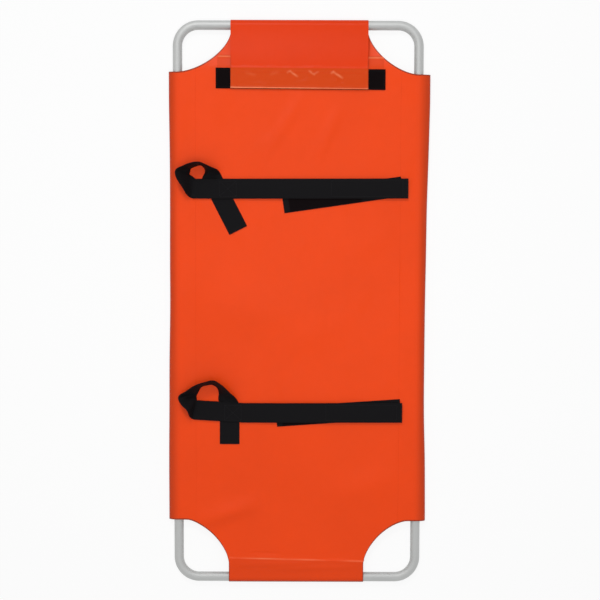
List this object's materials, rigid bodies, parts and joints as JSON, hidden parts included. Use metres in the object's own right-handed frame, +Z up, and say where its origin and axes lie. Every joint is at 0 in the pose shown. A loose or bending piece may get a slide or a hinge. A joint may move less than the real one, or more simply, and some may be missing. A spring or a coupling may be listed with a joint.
{
  "type": "animal stretcher",
  "caption": "Flat rescue stretcher for an animal: vinyl bed sleeved over an aluminium tube frame, with an opening head flap and peel-off webbing straps.",
  "frame": {"origin": "middle of the underside, on the plane that the sleeves rest on", "axes": "+X to the right-hand rail, +Y to the head end with the flap, +Z up out of the bed"},
  "size_m": [0.522, 1.1456, 0.0627],
  "materials": {
    "aluminium_tube": "satin, lightly drawn along the tube",
    "aluminium_sleeve": "mill finish",
    "rivet": "bright",
    "button_steel": "bright",
    "spring_steel": "dull spring steel",
    "orange_vinyl": "smooth, slightly shiny vinyl-coated cloth",
    "flap_vinyl": "smooth, slightly shiny vinyl-coated cloth",
    "black_webbing": "woven webbing",
    "hook_tape": "hook side of hook-and-loop tape",
    "loop_tape": "loop side of hook-and-loop tape"
  },
  "bodies": {
    "stretcher": {"head_frame_tube": "aluminium_tube", "foot_frame_tube": "aluminium_tube", "left_frame_spigot": "aluminium_sleeve", "right_frame_spigot": "aluminium_sleeve", "left_spigot_rivet_1": "rivet", "left_spigot_rivet_2": "rivet", "right_spigot_rivet_1": "rivet", "right_spigot_rivet_2": "rivet", "left_button_spring": "spring_steel", "right_button_spring": "spring_steel", "bed_cover": "orange_vinyl", "head_reinforcement": "orange_vinyl", "flap_loop_strip": "loop_tape", "chest_strap_loop": "black_webbing", "chest_strap_anchor": "black_webbing", "hip_strap_loop": "black_webbing", "hip_strap_anchor": "black_webbing"},
    "head_flap": {"head_flap": "flap_vinyl", "flap_hook_strip": "hook_tape"},
    "chest_strap": {"chest_strap": "black_webbing", "chest_hook_tape": "hook_tape"},
    "chest_under_strap": {"chest_under_strap": "black_webbing", "chest_loop_tape": "loop_tape"},
    "hip_strap": {"hip_strap": "black_webbing", "hip_hook_tape": "hook_tape"},
    "hip_under_strap": {"hip_under_strap": "black_webbing", "hip_loop_tape": "loop_tape"},
    "left_snap_button": {"left_snap_button": "button_steel"},
    "right_snap_button": {"right_snap_button": "button_steel"}
  },
  "joints": [
    {"name": "head_flap_hinge", "type": "hinge", "parent": "stretcher", "child": "head_flap", "pos_m": [0, 0.5617, 0.0216], "axis": [-1, 0, 0], "range_deg": [0, 170]},
    {"name": "chest_strap_peel", "type": "hinge", "parent": "stretcher", "child": "chest_strap", "pos_m": [-0.1194, 0.235, 0.0271], "axis": [0, -1, 0], "range_deg": [0, 150]},
    {"name": "chest_under_strap_lift", "type": "hinge", "parent": "stretcher", "child": "chest_under_strap", "pos_m": [0.19, 0.2377, 0.0239], "axis": [-0.1444, 0.9895, 0], "range_deg": [0, 57]},
    {"name": "hip_strap_peel", "type": "hinge", "parent": "stretcher", "child": "hip_strap", "pos_m": [-0.1094, -0.2197, 0.0271], "axis": [0, -1, 0], "range_deg": [0, 150]},
    {"name": "hip_under_strap_lift", "type": "hinge", "parent": "stretcher", "child": "hip_under_strap", "pos_m": [0.19, -0.2126, 0.0239], "axis": [-0.068, 0.9977, 0], "range_deg": [0, 40.5]},
    {"name": "left_snap_button_press", "type": "slide", "parent": "stretcher", "child": "left_snap_button", "axis": [1, 0, 0], "range_m": [0, 0.0042], "stiffness_N_per_m": 2500, "springref_m": -0.001, "deforming": ["left_button_spring"]},
    {"name": "right_snap_button_press", "type": "slide", "parent": "stretcher", "child": "right_snap_button", "axis": [-1, 0, 0], "range_m": [0, 0.0042], "stiffness_N_per_m": 2500, "springref_m": -0.001, "deforming": ["right_button_spring"]}
  ],
  "couplings": [
    {"joint": "chest_under_strap_lift", "follows": "chest_strap_peel", "ratio": 0.38},
    {"joint": "hip_under_strap_lift", "follows": "hip_strap_peel", "ratio": 0.27}
  ]
}
